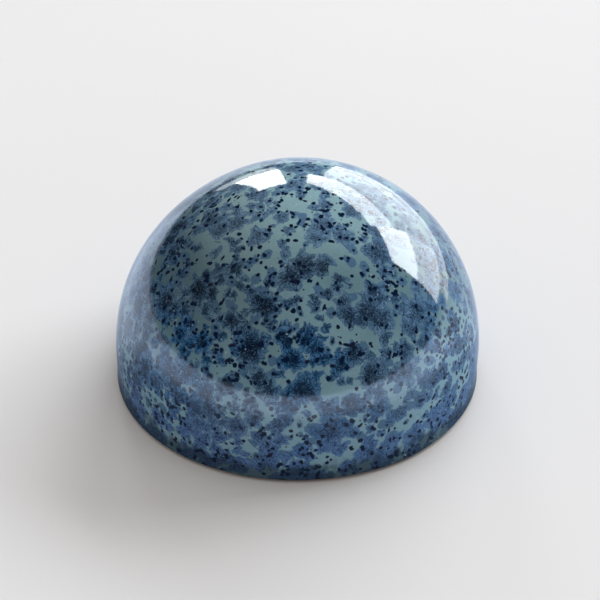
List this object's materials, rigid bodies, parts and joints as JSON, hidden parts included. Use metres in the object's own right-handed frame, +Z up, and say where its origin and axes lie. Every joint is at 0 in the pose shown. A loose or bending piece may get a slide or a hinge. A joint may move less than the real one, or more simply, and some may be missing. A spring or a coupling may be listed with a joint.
{
  "type": "round-bottomed bowl",
  "caption": "Footless round-bottomed stoneware bowl lying rim down, glazed outside in sage green with blue crystal rosettes.",
  "frame": {"origin": "centre of the rim plane, on which the upturned bowl rests", "axes": "+Z up through the bowl's round bottom, which is the dome on top; the mouth faces -Z"},
  "size_m": [0.12, 0.12, 0.0714],
  "materials": {
    "clay": "bare fired stoneware, matte, fine speckle",
    "crystal_glaze": "glossy sage-green glaze with blue crystal rosettes and dark spots",
    "liner_glaze": "glossy sage-green liner glaze with sparse blue spots"
  },
  "bodies": {
    "root": {"clay_body": "clay", "outer_glaze": "crystal_glaze", "inner_glaze": "liner_glaze"}
  },
  "joints": []
}
